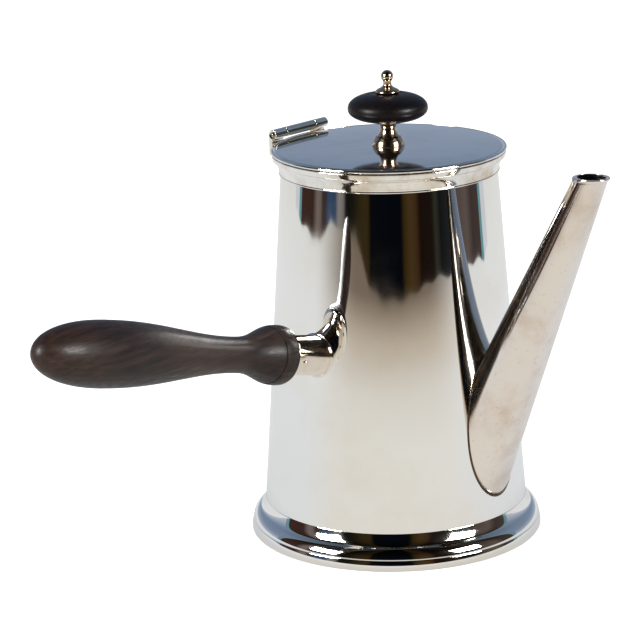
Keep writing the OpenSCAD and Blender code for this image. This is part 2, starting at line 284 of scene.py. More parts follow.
def add(tree, kind, inputs=None, **settings):
    """Adds a shader node; each input takes a value or another node's output."""
    made = tree.nodes.new(kind)
    for key, value in settings.items():
        setattr(made, key, value)
    for key, value in (inputs or {}).items():
        if isinstance(value, bpy.types.NodeSocket):
            tree.links.new(value, made.inputs[key])
        else:
            made.inputs[key].default_value = value
    return made


def calc(tree, operation, first, second=0.0, third=0.0, clamp=False):
    """One Math node's output."""
    made = add(tree, "ShaderNodeMath", {0: first, 1: second, 2: third}, operation=operation)
    made.use_clamp = clamp
    return made.outputs[0]


def between(tree, value, low, high, low_out=0.0, high_out=1.0, smooth=True):
    """Takes a value from one range to another, held at both ends."""
    made = add(tree, "ShaderNodeMapRange",
               {"Value": value, "From Min": low, "From Max": high, "To Min": low_out, "To Max": high_out})
    made.interpolation_type = "SMOOTHSTEP" if smooth else "LINEAR"
    return made.outputs["Result"]


def mixed(tree, factor, first, second, blend="MIX"):
    """A colour between two colours."""
    made = add(tree, "ShaderNodeMix", data_type="RGBA", blend_type=blend)
    for socket, value in ((made.inputs[0], factor), (made.inputs[6], first), (made.inputs[7], second)):
        if isinstance(value, bpy.types.NodeSocket):
            tree.links.new(value, socket)
        else:
            socket.default_value = value
    return made.outputs[2]


def ramp(tree, factor, stops):
    """A colour ramp; stops are (place from 0 to 1, colour)."""
    made = add(tree, "ShaderNodeValToRGB", {"Fac": factor})
    elements = made.color_ramp.elements
    elements[0].position, elements[0].color = stops[0]
    elements[1].position, elements[1].color = stops[-1]
    for place, tint in stops[1:-1]:
        elements.new(place).color = tint
    return made.outputs["Color"]


def noise(tree, vector, scale, detail, roughness=0.5):
    """Noise from 0 to 1; the scale is in lumps per metre."""
    made = add(tree, "ShaderNodeTexNoise",
               {"Vector": vector, "Scale": scale, "Detail": detail, "Roughness": roughness})
    return made.outputs["Fac"]


def new_group(name, inputs, outputs):
    """A shader node group with named sockets; returns the group with its input and output nodes."""
    group = bpy.data.node_groups.new(name, "ShaderNodeTree")
    for kind, sockets in (("INPUT", inputs), ("OUTPUT", outputs)):
        for label, socket_type in sockets:
            group.interface.new_socket(label, in_out=kind, socket_type=socket_type)
    return group, add(group, "NodeGroupInput"), add(group, "NodeGroupOutput")


def new_material(name):
    """An empty node material, with its Principled shader wired to the output."""
    material = bpy.data.materials.new(name)
    material.use_nodes = True
    tree = material.node_tree
    tree.nodes.clear()
    shader = add(tree, "ShaderNodeBsdfPrincipled")
    add(tree, "ShaderNodeOutputMaterial", {"Surface": shader.outputs["BSDF"]})
    return material, tree, shader


FLOAT, TINT, VECTOR = "NodeSocketFloat", "NodeSocketColor", "NodeSocketVector"


# ---- camera -------------------------------------------------------------------------

HANDED = radians(39)
CAMERA_BACK = 0.9942
CAMERA_HEIGHT = 0.3594
CAMERA_PITCH = radians(15.42)
CAMERA_YAW = radians(-1.65)
CAMERA_ROLL = radians(-1.64)
CAMERA_LENS = 146.25


def make_camera():
    """Stands in front of the pot, half way between handle and spout, and looks slightly down."""
    ahead = np.array([sin(CAMERA_YAW) * cos(CAMERA_PITCH), cos(CAMERA_YAW) * cos(CAMERA_PITCH),
                      -sin(CAMERA_PITCH)])
    level = np.array([cos(CAMERA_YAW), -sin(CAMERA_YAW), 0])
    upright = np.cross(level, ahead)
    right = level * cos(CAMERA_ROLL) + upright * sin(CAMERA_ROLL)
    up = upright * cos(CAMERA_ROLL) - level * sin(CAMERA_ROLL)
    pose = Matrix(np.column_stack([right, up, -ahead]).tolist()).to_4x4()
    pose.translation = (0, -CAMERA_BACK, CAMERA_HEIGHT)
    data = bpy.data.cameras.new("camera")
    data.lens = CAMERA_LENS
    camera = bpy.data.objects.new("camera", data)
    camera.matrix_world = Matrix.Rotation(HANDED, 4, "Z") @ pose
    scene.collection.objects.link(camera)
    scene.camera = camera


# ---- studio -------------------------------------------------------------------------

FRONT = HANDED - pi / 2
FLOOR_REACH = 4.0
BOX_RISE = 21
BOX_AWAY = 1.9
BOX_SIDE = 0.74
BOX_POWER = 46
FLOOR_GAP = 0.00002
FLOOR_Z = cad_box[0][2] - FLOOR_GAP
# Bearing from the front in degrees, and how far the table reaches there in metres.
TABLE_EDGE = ((-103, 0.95), (-75, 1.05), (-62, 1.3), (-35, 1.4), (-22, 1.05), (-10, 0.96), (12, 0.96),
              (30, 1.0), (45, 1.0), (60, 0.93), (75, 0.87), (90, 0.82), (103, 0.75))


def studio_direction(tree, vector):
    """Bearing from the studio's front, in turns from 0 to 1 with the front at 0.5, and the rotated vector."""
    straight = add(tree, "ShaderNodeVectorRotate", {"Vector": vector, "Angle": -FRONT},
                   rotation_type="Z_AXIS")
    axes = add(tree, "ShaderNodeSeparateXYZ", {"Vector": straight.outputs[0]})
    bearing = calc(tree, "ARCTAN2", axes.outputs["Y"], axes.outputs["X"])
    return calc(tree, "MULTIPLY_ADD", bearing, 0.5 / pi, 0.5), axes


def turn_of(bearing):
    """A bearing in degrees, as a place on a ramp from 0 to 1."""
    return bearing / 360 + 0.5


def make_world():
    """Plain white for eye and soft light; the silver sees a dim room in front and a pale sweep behind."""
    world = bpy.data.worlds.new("studio")
    world.use_nodes = True
    scene.world = world
    tree = world.node_tree
    tree.nodes.clear()
    direction = add(tree, "ShaderNodeTexCoord").outputs["Generated"]
    bearing, axes = studio_direction(tree, direction)
    height = calc(tree, "MULTIPLY", calc(tree, "ARCSINE", axes.outputs["Z"]), 180 / pi)
    room = ramp(tree, bearing, [(turn_of(a), colour(*tint)) for a, tint in (
        (-103, (60, 41, 35)), (-86, (56, 38, 32)), (-80, (112, 100, 95)), (-76, (104, 92, 88)),
        (-73, (60, 45, 42)), (-69, (54, 46, 52)), (-66, (46, 70, 98)), (-58, (42, 62, 90)),
        (-54, (128, 124, 122)), (-49, (112, 108, 108)), (-46, (14, 14, 14)), (-38, (24, 22, 16)),
        (-31, (44, 36, 18)), (-23, (52, 40, 20)), (-20, (9, 10, 12)), (0, (4, 8, 15)),
        (11, (6, 8, 12)), (14, (50, 37, 16)), (20, (66, 50, 27)), (26, (60, 42, 24)),
        (30, (26, 15, 10)), (43, (25, 18, 14)), (47, (46, 47, 40)), (52, (20, 21, 19)),
        (62, (30, 33, 38)), (72, (78, 68, 64)), (84, (92, 80, 76)), (92, (60, 51, 49)),
        (101, (66, 55, 52)))])
    dim = between(tree, height, 10, 50, 1.0, 0.35)
    dim_grey = add(tree, "ShaderNodeCombineColor", {"Red": dim, "Green": dim, "Blue": dim})
    room = mixed(tree, 1.0, room, dim_grey.outputs[0], "MULTIPLY")
    sweep = ramp(tree, between(tree, height, -10, 90, smooth=False), [
        (0.0, colour(204, 208, 215)), (0.08, colour(186, 193, 203)), (0.16, colour(150, 163, 184)),
        (0.26, colour(122, 138, 162)), (0.45, colour(112, 128, 152)), (0.7, colour(84, 92, 108)),
        (1.0, colour(40, 40, 44))])
    aside = calc(tree, "MULTIPLY", calc(tree, "ABSOLUTE", calc(tree, "SUBTRACT", bearing, 0.5)), 360)
    edge = calc(tree, "MULTIPLY", between(tree, aside, 103, 104), between(tree, aside, 107.5, 106))
    around = mixed(tree, between(tree, aside, 106, 108), room, sweep)
    around = mixed(tree, edge, around, colour(98, 146, 154))
    seen = add(tree, "ShaderNodeBackground", {"Color": (1, 1, 1, 1), "Strength": 1.0})
    mirrored = add(tree, "ShaderNodeBackground", {"Color": around, "Strength": 1.0})
    path = add(tree, "ShaderNodeLightPath")
    plain = calc(tree, "MAXIMUM", path.outputs["Is Camera Ray"], path.outputs["Is Diffuse Ray"])
    both = add(tree, "ShaderNodeMixShader", {0: plain, 1: mirrored.outputs[0], 2: seen.outputs[0]})
    add(tree, "ShaderNodeOutputWorld", {"Surface": both.outputs[0]})


def table_reach(bearing):
    """Floor radius at a bearing from the front: short where the table ends, long behind."""
    turn = np.degrees(bearing)
    edge = np.interp(turn, *zip(*TABLE_EDGE)) + 0.012 * np.sin(bearing * 23 + 1)
    behind = np.clip((np.abs(turn) - 112) / 12, 0, 1)
    return edge * (1 - behind) + FLOOR_REACH * behind


def make_floor():
    """A flat pale floor a hair under the foot: rings that grow out to the table's reach at each bearing."""
    bearing = np.linspace(-pi, pi, 361)[:-1]
    share = np.array([0.0, 0.06, 0.12, 0.25, 0.5, 0.75, 1.0])[:, None]
    reach = share * table_reach(bearing)
    angle = bearing + FRONT
    points = np.stack([reach * np.cos(angle), reach * np.sin(angle), 0 * reach + FLOOR_Z], axis=-1)
    mesh = clean_mesh("floor", points.reshape(-1, 3), grid_faces(len(share), len(bearing), False))
    floor = bpy.data.objects.new("floor", mesh)
    scene.collection.objects.link(floor)
    floor.data.materials.append(floor_paper())


def floor_paper():
    """Pale paper to the eye; in reflections a painted glow whose colour is painted shade: dim under and close
    round the foot as a painted contact shadow, and towards the front it falls into shade as the studio light
    runs out.
    """
    material = bpy.data.materials.new("floor_paper")
    material.use_nodes = True
    tree = material.node_tree
    tree.nodes.clear()
    place = add(tree, "ShaderNodeTexCoord").outputs["Object"]
    bearing = studio_direction(tree, place)[0]
    reach = add(tree, "ShaderNodeVectorMath", {0: place}, operation="LENGTH").outputs["Value"]
    # Painted shade by distance from the pot: a painted contact shadow under and round the foot, then painted
    # shade far off in front.
    front = ramp(tree, reach, [
        (0.0, colour(190, 186, 182)), (0.058, colour(212, 208, 203)), (0.085, colour(228, 226, 221)),
        (0.3, colour(227, 225, 219)), (0.48, colour(218, 214, 206)), (0.69, colour(190, 179, 164)),
        (0.84, colour(154, 140, 125)), (0.96, colour(118, 106, 93))])
    side = ramp(tree, reach, [
        (0.0, colour(190, 190, 192)), (0.06, colour(205, 207, 210)), (0.1, colour(222, 225, 228)),
        (0.45, colour(228, 230, 232)), (1.0, colour(222, 222, 220))])
    ahead = calc(tree, "COSINE", calc(tree, "MULTIPLY", calc(tree, "SUBTRACT", bearing, 0.5), 2 * pi))
    painted_floor_shade = mixed(tree, between(tree, ahead, 0.15, 0.85), side, front)
    paper = add(tree, "ShaderNodeBsdfDiffuse", {"Color": colour(243, 242, 240)})
    # Glossy rays see this emission, a painted glow with the painted shade above, instead of paper lit by the
    # lamps.
    mirrored = add(tree, "ShaderNodeEmission", {"Color": painted_floor_shade, "Strength": 1.0})
    glossy = add(tree, "ShaderNodeLightPath").outputs["Is Glossy Ray"]
    both = add(tree, "ShaderNodeMixShader", {0: glossy, 1: paper.outputs[0], 2: mirrored.outputs[0]})
    add(tree, "ShaderNodeOutputMaterial", {"Surface": both.outputs[0]})
    return material


def make_light(name, bearing, height, distance, width, tall, power, tint=(1, 1, 1)):
    """A soft rectangular light, turned to the middle of the pot."""
    data = bpy.data.lights.new(name, "AREA")
    data.shape = "RECTANGLE"
    data.size, data.size_y = width, tall
    data.energy = power
    data.color = tint
    light = bpy.data.objects.new(name, data)
    angle = FRONT + radians(bearing)
    rise = radians(height)
    away = np.array([cos(angle) * cos(rise), sin(angle) * cos(rise), sin(rise)])
    middle = np.array([0, 0, LID_TOP * MM * 0.75])
    facing = -away
    level = np.cross(facing, [0, 0, 1.0])
    level /= np.linalg.norm(level)
    pose = Matrix(np.column_stack([level, np.cross(level, facing), -facing]).tolist()).to_4x4()
    pose.translation = (middle + away * distance).tolist()
    light.matrix_world = pose
    light.visible_camera = False
    scene.collection.objects.link(light)


def make_lights():
    """Two soft boxes, at the front left and the front right."""
    make_light("soft_box_left", -60, BOX_RISE, BOX_AWAY, BOX_SIDE, BOX_SIDE, BOX_POWER, (0.97, 0.985, 1.0))
    make_light("soft_box_right", 58, BOX_RISE, BOX_AWAY, BOX_SIDE, BOX_SIDE, BOX_POWER, (1.0, 0.99, 0.975))


make_camera()
make_world()
make_floor()
make_lights()


# ---- finishes -----------------------------------------------------------------------

def toning_group():
    """Where silver has gone warm: soft clouds and small freckles, scattered at random."""
    group, given, result = new_group(
        "silver_toning", [("Vector", VECTOR), ("Scale", FLOAT), ("Amount", FLOAT), ("Freckles", FLOAT)],
        [("Mask", FLOAT)])
    vector = given.outputs["Vector"]
    clouds = noise(group, vector, given.outputs["Scale"], 5.0, 0.6)
    specks = noise(group, vector, calc(group, "MULTIPLY", given.outputs["Scale"], 9.0), 3.0, 0.7)
    cloud_mask = between(group, clouds, 0.42, 0.78)
    speck_mask = between(group, specks, 0.62, 0.74)
    total = calc(group, "ADD", calc(group, "MULTIPLY", cloud_mask, given.outputs["Amount"]),
                 calc(group, "MULTIPLY", speck_mask, given.outputs["Freckles"]), clamp=True)
    group.links.new(total, result.inputs["Mask"])
    return group


def polish_group():
    """What polishing leaves: a slight unevenness of the sheet, hairline scratches and smears."""
    group, given, result = new_group(
        "polish_marks", [("Vector", VECTOR), ("Smears", FLOAT), ("Base Roughness", FLOAT)],
        [("Roughness", FLOAT), ("Height", FLOAT)])
    vector = given.outputs["Vector"]
    smears = noise(group, vector, 34.0, 4.0)
    hairs = noise(group, vector, 900.0, 2.0)
    sheet = noise(group, vector, 22.0, 1.0)
    smear_mask = between(group, smears, 0.45, 0.75)
    rough = calc(group, "MULTIPLY_ADD", smear_mask, given.outputs["Smears"], given.outputs["Base Roughness"])
    height = calc(group, "MULTIPLY_ADD", hairs, 0.02, sheet)
    group.links.new(rough, result.inputs["Roughness"])
    group.links.new(height, result.inputs["Height"])
    return group


TONING = toning_group()
POLISH = polish_group()


def silver(name, bright, tone, amount, freckles, scale, roughness, smears, waviness):
    """Polished silver with its own tint, toning and polish marks."""
    material, tree, shader = new_material(name)
    place = add(tree, "ShaderNodeTexCoord").outputs["Object"]
    toning = add(tree, "ShaderNodeGroup", node_tree=TONING)
    polish = add(tree, "ShaderNodeGroup", node_tree=POLISH)
    for group, values in ((toning, {"Scale": scale, "Amount": amount, "Freckles": freckles}),
                          (polish, {"Smears": smears, "Base Roughness": roughness})):
        tree.links.new(place, group.inputs["Vector"])
        for key, value in values.items():
            group.inputs[key].default_value = value
    tint = mixed(tree, toning.outputs["Mask"], colour(*bright), colour(*tone))
    bump = add(tree, "ShaderNodeBump",
               {"Height": polish.outputs["Height"], "Strength": waviness, "Distance": 0.0004})
    tree.links.new(tint, shader.inputs["Base Color"])
    tree.links.new(polish.outputs["Roughness"], shader.inputs["Roughness"])
    tree.links.new(bump.outputs["Normal"], shader.inputs["Normal"])
    shader.inputs["Metallic"].default_value = 1.0
    return material


def turned_wood(name, dark, light, streaks, roughness, sheen, coat):
    """Close-grained turned hardwood: fibres run the way the handle points."""
    material, tree, shader = new_material(name)
    place = add(tree, "ShaderNodeTexCoord").outputs["Object"]
    laid = {"Vector": place, "Rotation": (HANDLE_RISE, 0, 0)}
    fibres = add(tree, "ShaderNodeMapping", {**laid, "Scale": (700, 20, 700)})
    grain = noise(tree, fibres.outputs[0], 1.0, 6.0, 0.62)
    patches = noise(tree, place, 28.0, 4.0)
    pores = add(tree, "ShaderNodeMapping", {**laid, "Scale": (1500, 90, 1500)})
    pore = noise(tree, pores.outputs[0], 1.0, 2.0)
    fibre = calc(tree, "MULTIPLY", between(tree, grain, 0.35, 0.72), streaks)
    blotch = calc(tree, "MULTIPLY", between(tree, patches, 0.35, 0.75), 0.5)
    share = calc(tree, "ADD", fibre, blotch, clamp=True)
    tree.links.new(mixed(tree, share, colour(*dark), colour(*light)), shader.inputs["Base Color"])
    tree.links.new(between(tree, pore, 0.3, 0.7, roughness + 0.1, roughness - 0.05),
                   shader.inputs["Roughness"])
    bump = add(tree, "ShaderNodeBump", {"Height": pore, "Strength": 0.25, "Distance": 0.0002})
    tree.links.new(bump.outputs["Normal"], shader.inputs["Normal"])
    shader.inputs["Specular IOR Level"].default_value = sheen
    shader.inputs["Coat Weight"].default_value = coat
    shader.inputs["Coat Roughness"].default_value = 0.16
    return material


BODY_SILVER = silver("body_silver", (247, 246, 243), (232, 222, 204), 0.35, 0.05, 26, 0.03, 0.05, 0.04)
LID_SILVER = silver("lid_silver", (243, 242, 240), (214, 204, 190), 0.5, 0.15, 40, 0.06, 0.07, 0.06)
RIM_SILVER = silver("rim_silver", (247, 244, 238), (196, 172, 138), 0.7, 0.3, 60, 0.05, 0.06, 0.05)
SPOUT_SILVER = silver("spout_silver", (240, 232, 224), (200, 176, 150), 0.5, 0.5, 60, 0.10, 0.10, 0.06)
FINIAL_SILVER = silver("finial_silver", (208, 184, 158), (128, 98, 70), 0.9, 0.3, 120, 0.14, 0.10, 0.04)
SOLDER = silver("solder", (96, 78, 62), (58, 42, 30), 0.8, 0.6, 300, 0.35, 0.1, 0.2)
HANDLE_WOOD = turned_wood("handle_wood", (12, 8, 7), (44, 29, 23), 0.6, 0.40, 0.22, 0.05)
DISC_WOOD = turned_wood("disc_wood", (3, 3, 5), (18, 9, 9), 0.5, 0.36, 0.16, 0.04)


# ---- body ---------------------------------------------------------------------------

def body_shell():
    """Tapered round wall: the outline runs up the outside, over the mouth and down the inside."""
    low, high = SHELL_LOW[2], MOUTH_Z
    outline = softened([(body_radius(low), low, 0.2), (body_radius(high), high, 0.2),
                        (body_radius(high) - WALL, high, 0.2), (body_radius(low) - WALL, low, 0.2)], 3)
    piece("body_shell", turned(outline, 2 * ROUND), "pot", BODY_SILVER, ["body_shell"])


def base_plate():
    """A slightly domed disc: both faces rise as one minus the square of the radius."""
    z, thick, crown = 7.2, 1.2, 1.6
    edge = body_radius(z + thick / 2) - WALL
    share = np.linspace(0, 1, 25)
    upper = np.column_stack([edge * share, z + thick + crown * (1 - share ** 2)])
    lower = np.column_stack([(edge - 2) * share, z + crown * (1 - share ** 2)])[::-1]
    piece("base_plate", turned(np.vstack([upper, [[edge, z]], lower])), "pot", BODY_SILVER,
          ["base_plate"], ring_rows=False)


def foot_moulding():
    """A lip on a large circle, a step, part of an ellipse above it, and a parabola up to the body."""
    sweep, lip_z, wide, tall = 10.4, 0.7, 5.0, 5.6
    middle = np.array([FOOT_R - 5.6, 3.6])
    turn = np.linspace(0, pi / 2, 10)[:-1]
    under_lip = np.column_stack([FOOT_R - 1.2 + 1.2 * np.sin(turn), lip_z - lip_z * np.cos(turn)])
    lip = arc((FOOT_R - sweep, lip_z), sweep, 0, 19.6, 24)
    roll_over = lip[-1] + np.array([(-0.07, 0.1), (-0.2, 0.17)])
    turn = np.radians(np.linspace(10.8, 66.5, 50))
    bulge = middle + np.column_stack([wide * np.cos(turn), tall * np.sin(turn)])
    bend = bulge[-1] + (-1.1, 0.54)
    top = np.array([body_radius(BODY_FOOT_Z) + 0.08, BODY_FOOT_Z])
    share = np.linspace(0, 1, 33)[1:, None]
    cove = (1 - share) ** 2 * bulge[-1] + 2 * share * (1 - share) * bend + share ** 2 * top
    turn = np.radians(np.linspace(70, 0, 15))
    under = middle + np.column_stack([(wide - 1) * np.cos(turn), (tall - 1) * np.sin(turn)])
    outline = np.vstack([[(FOOT_R - FOOT_LIP_W, 0)], under_lip, lip, roll_over, bulge, cove,
                         [(body_radius(BODY_FOOT_Z) - 0.02, BODY_FOOT_Z), (body_radius(8) - 0.02, 8)], under,
                         [(FOOT_R - FOOT_LIP_W, 1)]])
    piece("foot_moulding", turned(outline), "pot", BODY_SILVER, ["foot_moulding"])


def foot_wire():
    """The flat ring that the pot rests on."""
    inner, outer = WIRE_INNER_R, FOOT_R - FOOT_LIP_W
    outline = softened([(inner, 0, 0.2), (outer, 0, 0.1), (outer, 1, 0.05), (inner, 1, 0.2)])
    piece("foot_wire", turned(outline), "pot", BODY_SILVER, ["foot_wire"])


def rim_moulding():
    """A fine bead, a hollow curve outwards and a short upright under the lid."""
    start = body_radius(RIM_LOW_Z)
    bead = arc((start + 0.3, RIM_LOW_Z + 0.45), 0.42, -80, 60, 10)
    hollow = arc((RIM_R + 3.1, RIM_LOW_Z + 1.2), 5.7, 180, 127, 28)
    top = softened([(RIM_R, MOUTH_Z - 1, 0), (RIM_R, MOUTH_Z, 0.2), (body_radius(MOUTH_Z), MOUTH_Z, 0)])
    outline = np.vstack([[(start - 0.02, RIM_LOW_Z)], bead, hollow, top])
    piece("rim_moulding", turned(outline), "pot", RIM_SILVER, ["rim_moulding"])


# ---- spout --------------------------------------------------------------------------

SPOUT_AXIS = np.array([sin(SPOUT_TILT), 0, cos(SPOUT_TILT)])


def spout_line(angle, stand_off=0.0):
    """Straight lines up the spout's cone at angles round its axis: base points, steps, outward vectors."""
    side = np.array([cos(SPOUT_TILT), 0, -sin(SPOUT_TILT)])
    outward = np.cos(angle)[:, None] * side + np.sin(angle)[:, None] * np.array([0, 1.0, 0])
    base = np.array([SPOUT_FOOT_X, 0, 0]) + (SPOUT_FOOT_R + stand_off) * outward
    return base, SPOUT_AXIS - SPOUT_TAPER * outward, outward


def to_body(base, step):
    """How many steps take each line out through the body's tapered wall: the larger root of a quadratic."""
    start = body_radius(0)
    wall = start + BODY_SLOPE * base[:, 2]
    a = step[:, 0] ** 2 + step[:, 1] ** 2 - (BODY_SLOPE * step[:, 2]) ** 2
    b = 2 * (base[:, 0] * step[:, 0] + base[:, 1] * step[:, 1] - wall * BODY_SLOPE * step[:, 2])
    c = base[:, 0] ** 2 + base[:, 1] ** 2 - wall ** 2
    return (-b + np.sqrt(b ** 2 - 4 * a * c)) / (2 * a)


def to_height(base, step, z):
    """How many steps take each line up to a height."""
    return (z - base[:, 2]) / step[:, 2]


def along(base, step, start, end, rows):
    """A grid of points on each line, from start to end steps."""
    share = np.linspace(0, 1, rows)[:, None, None]
    count = (start[:, None] * (1 - share) + end[:, None] * share)
    return base + step * count


def spout_tube():
    """A cone of sheet cut level at its tip and fitted to the body's wall at its root."""
    angle = full_turn()
    base, step, _ = spout_line(angle)
    outer = along(base, step, to_body(base, step) - ROOT_BITE, to_height(base, step, SPOUT_TIP_Z), 60)
    base, step, _ = spout_line(angle, -SPOUT_WALL)
    inner = along(base, step, to_height(base, step, SPOUT_TIP_Z), to_body(base, step) - ROOT_BITE, 40)
    piece("spout_tube", np.vstack([outer, inner]), "pot", SPOUT_SILVER, ["spout_tube"])


def spout_lip():
    """A thin band round the tip: its section is carried round the cone at each angle."""
    angle = full_turn()
    section = softened([(-0.02, SPOUT_TIP_Z - LIP_H, 0), (LIP_T - 0.2, SPOUT_TIP_Z - LIP_H, 0.15),
                        (LIP_T, SPOUT_TIP_Z - 0.6, 0.2), (LIP_T, SPOUT_TIP_Z, 0.22), (-0.02, SPOUT_TIP_Z, 0)])
    rows = []
    for stand_off, z in section:
        base, step, _ = spout_line(angle, stand_off)
        rows.append(base + step * to_height(base, step, z)[:, None])
    piece("spout_lip", np.stack(rows), "pot", SPOUT_SILVER, ["spout_lip"])


def solder_line(name, joint, outward, size, material):
    """A hollow fillet in a corner: at each point of the joint it runs from the tube's wall to the body's."""
    run = np.roll(joint, -1, 0) - np.roll(joint, 1, 0)
    run /= np.linalg.norm(run, axis=1)[:, None]
    wall = np.column_stack([joint[:, :2] / np.linalg.norm(joint[:, :2], axis=1)[:, None],
                            np.full(len(joint), -BODY_SLOPE)])
    wall /= np.linalg.norm(wall, axis=1)[:, None]
    across = np.cross(run, wall)
    across *= np.sign(np.sum(across * outward, axis=1))[:, None]
    up = np.cross(run, outward)
    up *= np.sign(np.sum(up * wall, axis=1))[:, None]
    up /= np.linalg.norm(up, axis=1)[:, None]
    rows = [joint + size * ((1 - sin(turn)) * up + (1 - cos(turn)) * across)
            for turn in np.linspace(0, pi / 2, 9)]
    rows += [joint + size * across - SOLDER_BITE * wall, joint - SOLDER_BITE * wall - SOLDER_BITE * outward,
             joint + size * up - SOLDER_BITE * outward]
    piece(name, np.stack(rows), "pot", material)


def spout_solder():
    """The solder round the spout's root."""
    angle = full_turn()
    base, step, outward = spout_line(angle)
    solder_line("spout_solder", base + step * to_body(base, step)[:, None], outward, 0.4, SOLDER)


# ---- handle -------------------------------------------------------------------------

HANDLE_ROOT = np.array([0, -body_radius(HANDLE_Z), HANDLE_Z])
HANDLE_AXIS = np.array([0, -cos(HANDLE_RISE), sin(HANDLE_RISE)])
HANDLE_SIDES = square_to(HANDLE_AXIS)


def on_handle(outline, steps=ROUND):
    """Lathe work on the handle's own axis."""
    return on_axis(turned(outline, steps), HANDLE_ROOT, HANDLE_AXIS)


def socket_line(radius, taper):
    """Straight lines along the socket's wall: base points, steps and outward vectors."""
    angle = full_turn()
    outward = np.cos(angle)[:, None] * HANDLE_SIDES[0] + np.sin(angle)[:, None] * HANDLE_SIDES[1]
    return HANDLE_ROOT + radius * outward, HANDLE_AXIS - taper * outward, outward


def handle_socket():
    """A short tube, fitted to the body's wall at its root."""
    base, step, outward = socket_line(SOCKET_R, SOCKET_TAPER)
    length = np.full(len(base), SOCKET_LEN)
    outer = along(base, step, to_body(base, step) - ROOT_BITE, length, 24)
    bore, bore_step, _ = socket_line(SOCKET_BORE_R, 0)
    inner = along(bore, bore_step, length, to_body(bore, bore_step) - ROOT_BITE, 4)
    piece("handle_socket", np.vstack([outer, inner]), "pot", SPOUT_SILVER, ["handle_socket"])
    solder_line("socket_solder", base + step * to_body(base, step)[:, None], outward, 0.7, SPOUT_SILVER)


def socket_flange():
    """A thin ring against the wooden collar."""
    end = SOCKET_LEN + FLANGE_T
    outline = softened([(SOCKET_BORE_R, SOCKET_LEN, 0), (COLLAR_R - 1.2, SOCKET_LEN, 0.5),
                        (COLLAR_R - 0.1, end - 0.4, 0.3), (COLLAR_R - 0.1, end, 0.1),
                        (SOCKET_BORE_R, end, 0)])
    piece("socket_flange", on_handle(outline), "pot", RIM_SILVER, ["socket_flange"])


def grip_radius(s):
    """Collar to waist and waist to grip follow half cosines; the free end is a superellipse."""
    swell = np.clip((GRIP_AT - s) / (GRIP_AT - WAIST_AT), 0, 1) ** 1.12
    grip = WAIST_R + (GRIP_R - WAIST_R) * (1 + np.cos(pi * swell)) / 2
    past = np.clip((s - GRIP_AT) / (HANDLE_END - GRIP_AT), 0, 1)
    end = GRIP_R * np.clip(1 - past ** END_POWER, 0, 1) ** (1 / END_POWER)
    rise = np.clip((WAIST_AT - s) / (WAIST_AT - COLLAR_END), 0, 1) ** 1.35
    neck = WAIST_R + (COLLAR_R - WAIST_R) * (1 - np.cos(pi * rise)) / 2
    return np.where(s > GRIP_AT, end, np.where(s > WAIST_AT, grip, neck))


def wooden_handle():
    """Turned in one: tenon, collar, grooved shoulder, waist and a swelling grip with a rounded end."""
    shoulder = np.linspace(COLLAR_END, GROOVE_AT - 0.45, 20)
    run = np.concatenate([np.linspace(GROOVE_AT + 0.45, GRIP_AT, 110),
                          GRIP_AT + (HANDLE_END - GRIP_AT) * np.sin(np.linspace(0, pi / 2, 41)[1:])])
    grip = np.column_stack([grip_radius(run), run])
    grip[-1, 0] = 0
    groove = arc((grip_radius(GROOVE_AT) + 0.1, GROOVE_AT), 0.45, 245, 115, 8)
    start = arc((COLLAR_R - 0.6, COLLAR_START + 0.6), 0.6, -90, 0, 8)
    tenon = [(0, 0.6), (TENON_R - 0.4, 0.6), (TENON_R, 1.0), (TENON_R, COLLAR_START)]
    outline = np.vstack([tenon, start, np.column_stack([grip_radius(shoulder), shoulder]), groove, grip])
    piece("wooden_handle", on_handle(outline), "pot", HANDLE_WOOD, ["wooden_handle"],
          ring_rows=False)


def handle_rivet():
    """A pin through socket and tenon, with low domed ends."""
    half = SOCKET_R + 0.1
    axis = HANDLE_SIDES[0] * cos(RIVET_TURN) + HANDLE_SIDES[1] * sin(RIVET_TURN)
    dome = arc((0, half - 0.9), 1.35, 47, 90, 6)
    dome[-1, 0] = 0
    outline = np.vstack([dome[::-1] * (1, -1), dome])
    piece("handle_rivet", on_axis(turned(outline, 48), HANDLE_ROOT + HANDLE_AXIS * RIVET_AT, axis), "pot",
          SPOUT_SILVER, ["handle_rivet"], ring_rows=False)


# ---- lid hinge ------------------------------------------------------------------------

def ring_block(outer, inner, low, high, edge):
    """A block with a hole: outer and inner outlines matched point to point, its outer edges rounded."""
    inset = outer + (inner - outer) * (edge / np.linalg.norm(inner - outer, axis=1))[:, None]
    half = outer + (inset - outer) * 0.3
    rows = [(inner, low), (inset, low), (half, low + 0.3 * edge), (outer, low + edge), (outer, high - edge),
            (half, high - 0.3 * edge), (inset, high), (inner, high)]
    return np.stack([np.column_stack([flat, np.full(len(flat), depth)]) for flat, depth in rows])


def knuckle_circle():
    """Points on a unit circle, from its lowest point round."""
    angle = np.radians(np.linspace(0, 360, 96, endpoint=False) - 90)
    return np.column_stack([np.cos(angle), np.sin(angle)])


def hinge_block(outer, inner, low, high):
    """A hinge knuckle: its outline lies in the X Z plane about the pin, its depth along Y."""
    block = ring_block(outer, inner, low, high, KNUCKLE_EDGE)
    return np.stack([HINGE_X + block[..., 0], block[..., 2], HINGE_Z + block[..., 1]], axis=-1)


